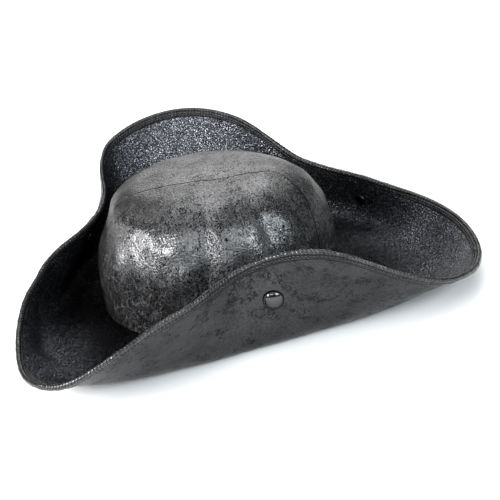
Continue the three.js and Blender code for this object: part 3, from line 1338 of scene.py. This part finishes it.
@dataclass
class Binding:
    """The strip turned over the brim's edge, puckered by its stitches, and the stitches themselves."""

    form: HatForm
    stitch_pitch: float = 0.0028
    stitch_length: float = 0.0020
    stitch_width: float = 0.00075
    stitch_rings: int = 4
    stitch_sides: int = 6
    stitch_taper: float = 0.86
    # The row of stitches, from the strip's free edge, and a pressed line, past the leather's edge.
    row_inset: float = 0.0012
    bead: float = -0.0019
    columns_a_stitch: int = 5
    # How far a stitch draws the strip in: everywhere by one share, and more about three lines.
    pucker: float = 0.00050
    pucker_share: float = 0.45
    pucker_widths: tuple[float, float, float] = (0.0014, 0.0006, 0.0012)
    pucker_rises: tuple[float, float, float] = (1.0, 0.8, 0.6)
    wrinkle: Ripple = Ripple(seed=5, longest=0.016, shortest=0.005)
    wrinkle_depth: float = 0.00022
    edge_samples: int = 4001
    # Where the legs of the cross section have points, as shares of their length.
    leg_places: tuple[float, ...] = (0, 0.11, 0.23, 0.36, 0.52, 0.68, 0.81, 0.91)
    lining_places: tuple[float, ...] = (0, 0.4, 0.8)
    # How many points the outer and the inner half circle and a rounded free end have.
    outer_steps: int = 11
    inner_steps: int = 7
    end_steps: int = 5
    nudge: float = 1e-4

    def __post_init__(self) -> None:
        """Measures the edge and counts the stitches."""
        turn = np.linspace(0, 1, self.edge_samples)
        cut = self.form.cut(turn)
        edge = self.form.brim_point(cut, cut.length[:, None], np.zeros((len(turn), 1)))[:, 0]
        steps = np.linalg.norm(np.diff(edge, axis=0), axis=-1)
        self.lengths = np.concatenate([[0], np.cumsum(steps)])
        self.turns = turn
        self.stitches = round(self.lengths[-1] / self.stitch_pitch)

    def spaced(self, count: int) -> np.ndarray:
        """Turns at even distances along the edge."""
        return np.interp(np.arange(count) / count * self.lengths[-1], self.lengths, self.turns)

    def outline(self) -> tuple[np.ndarray, np.ndarray, np.ndarray]:
        """The strip's cross section, once round.

        Two level legs joined by half circles about the middle of the leather's edge, with rounded
        free ends. The last array is how much the pucker moves each place.

        Returns:
            Distances past the edge, depths inward, and pucker shares.
        """
        form = self.form
        middle = form.brim_wall / 2
        inner = middle + form.seat_gap
        outer = inner + form.binding_wall
        radius = form.binding_wall / 2
        centre = form.edge_cover - outer
        start = form.binding_back + radius
        legs = start + (centre - start) * np.array(self.leg_places)
        lining = start + (centre - start) * np.array(self.lining_places)
        sweep = np.linspace(-np.pi / 2, np.pi / 2, self.outer_steps)
        inside = np.linspace(np.pi / 2, -np.pi / 2, self.inner_steps)
        end = np.linspace(-np.pi / 2, np.pi / 2, self.end_steps)[1:-1]
        turned = start - radius * np.cos(end)
        past = np.concatenate([
            legs, centre + outer * np.cos(sweep), legs[::-1], turned,
            lining, centre + inner * np.cos(inside), lining[::-1], turned,
        ])
        depth = np.concatenate([
            np.full(len(legs), middle - outer), middle + outer * np.sin(sweep),
            np.full(len(legs), middle + outer), middle + outer - radius + radius * np.sin(end[::-1]),
            np.full(len(lining), middle + inner), middle + inner * np.sin(inside),
            np.full(len(lining), middle - inner), middle - outer + radius - radius * np.sin(end),
        ])
        beyond = np.hypot(past - centre, depth - middle) > inner + 1e-5
        outside = np.clip((np.abs(depth - middle) - inner) / form.binding_wall, 0, 1)
        outside = np.where(past > centre, beyond, outside)
        lines = (form.binding_back + self.row_inset, self.bead, form.edge_cover)
        share = self.pucker_share
        for place, width, rise in zip(lines, self.pucker_widths, self.pucker_rises):
            share = share + rise * np.exp(-(((past - place) / width) ** 2))
        return past, depth, outside * share

    def shape(self) -> Shape:
        """Builds the strip: its cross section carried along the edge, drawn in at every stitch.

        The draw is the fourth power of a cosine that peaks at each stitch, so it is narrow.

        Returns:
            The closed shape, with its distance past the leather's edge and its draw marked.
        """
        form = self.form
        count = self.stitches * self.columns_a_stitch
        cut = form.cut(self.spaced(count))
        past, depth, share = self.outline()
        notch = np.cos(np.pi * np.arange(count) / self.columns_a_stitch) ** 4
        middle = form.brim_wall / 2
        side = np.sign(depth - middle)
        place = form.brim_point(cut, cut.length[:, None], np.zeros((count, 1)))
        wrinkle = self.wrinkle_depth * self.wrinkle.at(place)
        inward = depth + side * (wrinkle - self.pucker * notch[:, None]) * share
        distance = cut.length[:, None] + np.broadcast_to(past, inward.shape)
        points = form.brim_point(cut, distance, inward).transpose(1, 0, 2)
        drawn = notch[:, None] * np.minimum(share, 1)
        marks = {"past": np.broadcast_to(past, inward.shape).T.ravel(), "drawn": drawn.T.ravel()}
        return Shape(points.reshape(-1, 3), loop_faces(len(past), count, True), marks=marks)

    def stitch(self) -> Shape:
        """Builds one stitch along x: a capsule with its middle at the origin.

        At u along its length, from -1 to 1, its radius is the square root of 1 - u^2. The first and
        last rings are at the taper's u, and a point closes each end.

        Returns:
            The closed shape.
        """
        rings, sides = self.stitch_rings, self.stitch_sides
        along = np.linspace(-self.stitch_taper, self.stitch_taper, rings)
        girth = np.sqrt(1 - along ** 2)
        angle = 2 * np.pi * np.arange(sides) / sides
        tube = np.stack([
            np.repeat(along * self.stitch_length / 2, sides),
            np.outer(girth, np.cos(angle)).ravel() * self.stitch_width / 2,
            np.outer(girth, np.sin(angle)).ravel() * self.stitch_width / 2,
        ], axis=-1).reshape(rings, sides, 3)
        tip = np.array([self.stitch_length / 2, 0, 0])
        return capped(tube, -tip, tip).outward()

    def thread(self) -> Shape:
        """Builds the stitches on both faces, each along the edge with its lower half in the strip.

        Returns:
            One shape that holds them all.
        """
        form = self.form
        turn = self.spaced(self.stitches)
        cut = form.cut(turn)
        row = cut.length[:, None] + form.binding_back + self.row_inset
        proud = form.edge_cover - self.pucker
        bead = self.stitch()
        parts = []
        for depth in (-proud, form.brim_wall + proud):
            level = np.full((self.stitches, 1), depth)
            centre = form.brim_point(cut, row, level)[:, 0]
            ahead = form.brim_point(form.cut(turn + self.nudge), row, level)[:, 0]
            outer = form.brim_point(cut, row + self.nudge, level)[:, 0]
            forward = unit(ahead - centre)
            normal = unit(np.cross(forward, unit(outer - centre)))
            across = np.cross(normal, forward)
            axes = np.stack([forward, across, normal], axis=1)
            parts.append(centre[:, None] + np.einsum("kj,njl->nkl", bead.points, axes))
        points = np.concatenate(parts)
        offset = (np.arange(len(points)) * len(bead.points))[:, None, None]
        quads = (bead.quads + offset).reshape(-1, 4)
        triangles = (bead.triangles + offset).reshape(-1, 3)
        return Shape(points.reshape(-1, 3), quads, triangles)

    def finish(self) -> LeatherFinish:
        """The strip's leather: smoother film, with painted shade at its two lines and where stitches draw it
        in.

        Returns:
            The finish.
        """
        row = self.form.binding_back + self.row_inset
        # Painted shade along the stitch row and the pressed bead line.
        return LeatherFinish(
            "binding_leather_film", film=(0.080, 0.080, 0.081), film_roughness=0.22, vein_share=0.4,
            creased_mark="past", creases=(row, self.bead), drawn_mark="drawn",
        )

    def dress(self) -> None:
        """Makes the strip and its stitches and puts them on the frame."""
        strip = self.shape().piece("edge_binding_strip")
        settle(strip, "edge_binding", self.finish().material())
        stitches = self.thread().piece("edge_stitches")
        settle(stitches, "", ThreadFinish().material())


@dataclass
class Snap:
    """A press fastener: a domed cap outside, a post through the flap and a stud inside."""

    form: HatForm
    place: Fitting
    diameter: float = 0.0155
    dome: float = 0.0026
    # The angle of the dome's arc at its foot, which gives its roundness.
    dome_lean: float = 1.1
    rim: float = 0.0007
    rim_roll: float = 0.62
    rim_groove: float = 0.2
    rim_steps: int = 12
    dome_steps: int = 20
    stud_softness: float = 0.35
    stud_diameter: float = 0.009
    stud_height: float = 0.0014
    post_diameter: float = 0.004
    cap_gap: float = 0.0004
    stud_gap: float = 0.001
    sides: int = 64

    def profile(self) -> np.ndarray:
        """Half cross section from the stud's middle to the cap's, as (radius, height).

        The cap is a low rolled rim with an arc inside it; the stud has a rounded edge.

        Returns:
            The places between the two ends.
        """
        post = self.cap_gap + self.form.brim_wall + self.stud_gap
        low = -post - self.stud_height
        stud = self.stud_diameter / 2
        cap = self.diameter / 2
        soft = self.stud_height * self.stud_softness
        corner = np.linspace(0, np.pi / 2, 5)
        bottom = np.stack([stud - soft + soft * np.sin(corner), low + soft - soft * np.cos(corner)], axis=-1)
        top = np.stack([stud - soft + soft * np.cos(corner), -post - soft + soft * np.sin(corner)], axis=-1)
        stem = np.array([[self.post_diameter / 2, -post], [self.post_diameter / 2, 0.0]])
        roll = np.linspace(-np.pi / 2, np.pi * self.rim_roll, self.rim_steps)
        half = self.rim / 2
        lip = np.stack([cap - half + half * np.cos(roll), half + half * np.sin(roll)], axis=-1)
        inner = cap - 3.0 * half
        groove = self.rim * self.rim_groove
        lean = np.linspace(1.0, 0.04, self.dome_steps) * self.dome_lean
        sink = (np.cos(lean) - math.cos(self.dome_lean)) / (1 - math.cos(self.dome_lean))
        arc = np.stack([
            inner * np.sin(lean) / math.sin(self.dome_lean), groove + (self.dome - groove) * sink,
        ], axis=-1)
        centre_ring = np.array([[stud * 0.5, low]])
        return np.concatenate([centre_ring, bottom, top, stem, lip, arc])

    def seat(self) -> tuple[np.ndarray, np.ndarray]:
        """Where the cap's base stands, and its own three directions.

        Returns:
            The base's centre, and the rows around, up and outward.
        """
        _, turn, drop = self.place.value
        form = self.form
        nudge = 0.01

        def spot(shift: float, climb: float) -> np.ndarray:
            """A place on the flap's outer face near the seat.

            Args:
                shift: how far round from the seat, in turns.
                climb: how far up the flap from it, in metres.

            Returns:
                The place.
            """
            cut = form.cut(np.array([turn + shift]))
            distance = cut.length[:, None] + form.edge_cover - form.brim_width * drop + climb
            return form.brim_point(cut, distance, np.zeros((1, 1)))[0, 0]

        around = unit(spot(nudge, 0) - spot(-nudge, 0))
        up = spot(0, self.diameter / 2) - spot(0, -self.diameter / 2)
        outward = unit(np.cross(around, up))
        return spot(0, 0) + outward * self.cap_gap, np.stack([around, np.cross(outward, around), outward])

    def shape(self) -> Shape:
        """Spins the profile about the snap's own axis and stands it on its seat.

        Returns:
            The closed shape, with its distance from the axis marked as a share of the cap's radius.
        """
        rings = self.profile()
        angle = 2 * np.pi * np.arange(self.sides) / self.sides
        grid = np.stack([
            np.outer(rings[:, 0], np.cos(angle)), np.outer(rings[:, 0], np.sin(angle)),
            np.repeat(rings[:, 1:], self.sides, axis=1),
        ], axis=-1)
        low = np.array([0, 0, rings[0, 1]])
        high = np.array([0, 0, self.dome])
        shape = capped(grid, low, high)
        reach = np.hypot(shape.points[:, 0], shape.points[:, 1]) / (self.diameter / 2)
        shape.marks["reach"] = np.where(shape.points[:, 2] > 0, reach, 0)
        centre, axes = self.seat()
        shape.points = centre + shape.points @ axes
        return shape

    def dress(self, material: bpy.types.Material) -> None:
        """Makes the snap and puts it on the frame.

        Args:
            material: the metal's finish, which all three share.
        """
        node = self.place.value[0]
        piece = self.shape().piece(node + "_metal")
        settle(piece, node, material)


@dataclass(frozen=True)
class CameraView:
    """The photograph's view: degrees, metres, pixels of a 500 pixel square, and millimetres of sensor."""

    azimuth: float = 15.9
    elevation: float = 27.1
    roll: float = 9.9
    distance: float = 1.049
    focal: float = 1281.9
    centre_pixel: tuple[float, float] = (222.1, 286.9)
    image_size: float = 500.0
    sensor: float = 36.0

    def make(self, form: HatForm) -> None:
        """Makes the camera and aims it through the image's middle.

        Args:
            form: the hat, whose head centre the view is measured from.
        """
        angles = (self.azimuth, self.elevation, self.roll)
        turn, tilt, roll = (math.radians(angle) for angle in angles)
        level = Vector((math.cos(turn), math.sin(turn), 0))
        back = Vector((math.sin(turn) * math.cos(tilt), -math.cos(turn) * math.cos(tilt), math.sin(tilt)))
        upright = back.cross(level)
        right = math.cos(roll) * level - math.sin(roll) * upright
        up = math.sin(roll) * level + math.cos(roll) * upright
        off_right = self.image_size / 2 - self.centre_pixel[0]
        off_up = self.centre_pixel[1] - self.image_size / 2
        aim = (-self.focal * back + off_right * right + off_up * up).normalized()
        right = (right - right.dot(aim) * aim).normalized()
        up = right.cross(aim)
        data = bpy.data.cameras.new("studio_camera")
        data.sensor_width = self.sensor
        data.lens = self.focal / self.image_size * data.sensor_width
        camera = bpy.data.objects.new("studio_camera", data)
        camera.matrix_world = Matrix((right, up, -aim)).transposed().to_4x4()
        camera.location = Vector((*form.head_centre, 0)) + self.distance * back
        bpy.context.scene.collection.objects.link(camera)
        bpy.context.scene.camera = camera


@dataclass(frozen=True)
class Softbox:
    """A studio lamp, hung by its bearing from the camera's heading, to the right, and its height."""

    name: str
    bearing: float
    elevation: float
    distance: float
    size: tuple[float, float]
    glow: float
    colour: Colour = (1.0, 1.0, 1.0)

    def make(self, view: CameraView, aim: Vector) -> None:
        """Hangs the lamp and turns it to its aim.

        Its power is pi x area x glow, so glow is how bright it looks beside white at 1.

        Args:
            view: the camera's view, for its heading.
            aim: the point it faces.
        """
        turn = math.radians(view.azimuth)
        side, rise = math.radians(self.bearing), math.radians(self.elevation)
        ahead = Vector((-math.sin(turn), math.cos(turn), 0))
        right = Vector((math.cos(turn), math.sin(turn), 0))
        level = math.cos(side) * ahead + math.sin(side) * right
        way = math.cos(rise) * level + Vector((0, 0, math.sin(rise)))
        data = bpy.data.lights.new(self.name, "AREA")
        data.shape = "RECTANGLE"
        data.size, data.size_y = self.size
        data.energy = math.pi * self.size[0] * self.size[1] * self.glow
        data.color = self.colour
        lamp = bpy.data.objects.new(self.name, data)
        lamp.location = aim + self.distance * way
        lamp.rotation_mode = "QUATERNION"
        lamp.rotation_quaternion = (-way).to_track_quat("-Z", "Y")
        lamp.visible_camera = False
        bpy.context.scene.collection.objects.link(lamp)


@dataclass
class Studio:
    """A plain pale floor, soft light and the camera."""

    form: HatForm
    view: CameraView = CameraView()
    floor_reach: float = 3.0
    floor_colour: Colour = (0.93, 0.93, 0.93)
    floor_roughness: float = 0.9
    surroundings: float = 0.15
    lamp_aim_height: float = 0.05
    lamps: tuple[Softbox, ...] = (
        Softbox("back_softbox", 16, 48, 1.6, (1.2, 0.5), 5.6),
        Softbox("low_back_card", 5, 13, 1.8, (1.4, 0.35), 3.2),
        Softbox("key_softbox", -112, 24, 1.4, (1.3, 0.5), 20.0),
        Softbox("cool_right_softbox", 140, 27, 1.5, (0.9, 0.5), 12.0, (0.88, 0.96, 1.0)),
        Softbox("cool_behind_softbox", -166, 29, 1.5, (0.7, 0.3), 6.5, (0.84, 0.92, 1.0)),
        Softbox("top_softbox", 0, 86, 1.5, (0.9, 0.9), 3.2),
        Softbox("front_fill", 160, 62, 1.5, (1.2, 0.8), 2.4),
    )

    def build(self) -> None:
        """Lays the floor, sets the surroundings and hangs the lamps."""
        reach = self.floor_reach
        corners = [(-reach, -reach, 0), (reach, -reach, 0), (reach, reach, 0), (-reach, reach, 0)]
        mesh = bpy.data.meshes.new("studio_floor")
        mesh.from_pydata(corners, [], [(0, 1, 2, 3)])
        floor = bpy.data.objects.new("studio_floor", mesh)
        bpy.context.scene.collection.objects.link(floor)
        paint = Bench("pale_floor").finish(Base_Color=self.floor_colour, Roughness=self.floor_roughness)
        floor.data.materials.append(paint)
        world = bpy.data.worlds.new("studio_surroundings")
        world.use_nodes = True
        background = world.node_tree.nodes["Background"]
        background.inputs["Color"].default_value = (1, 1, 1, 1)
        background.inputs["Strength"].default_value = self.surroundings
        bpy.context.scene.world = world
        bpy.context.scene.view_settings.view_transform = "Standard"
        for lamp in self.lamps:
            lamp.make(self.view, Vector((*self.form.head_centre, self.lamp_aim_height)))
        self.view.make(self.form)


def main() -> None:
    """Builds the studio and the hat's pieces in order."""
    logging.basicConfig(level=logging.INFO, format="%(name)s: %(message)s")
    form = HatForm()
    Studio(form).build()
    Brim(form).dress()
    Crown(form).dress()
    Binding(form).dress()
    metal = MetalFinish().material()
    for place in Fitting:
        Snap(form, place).dress(metal)


if __name__ == "__main__":
    main()
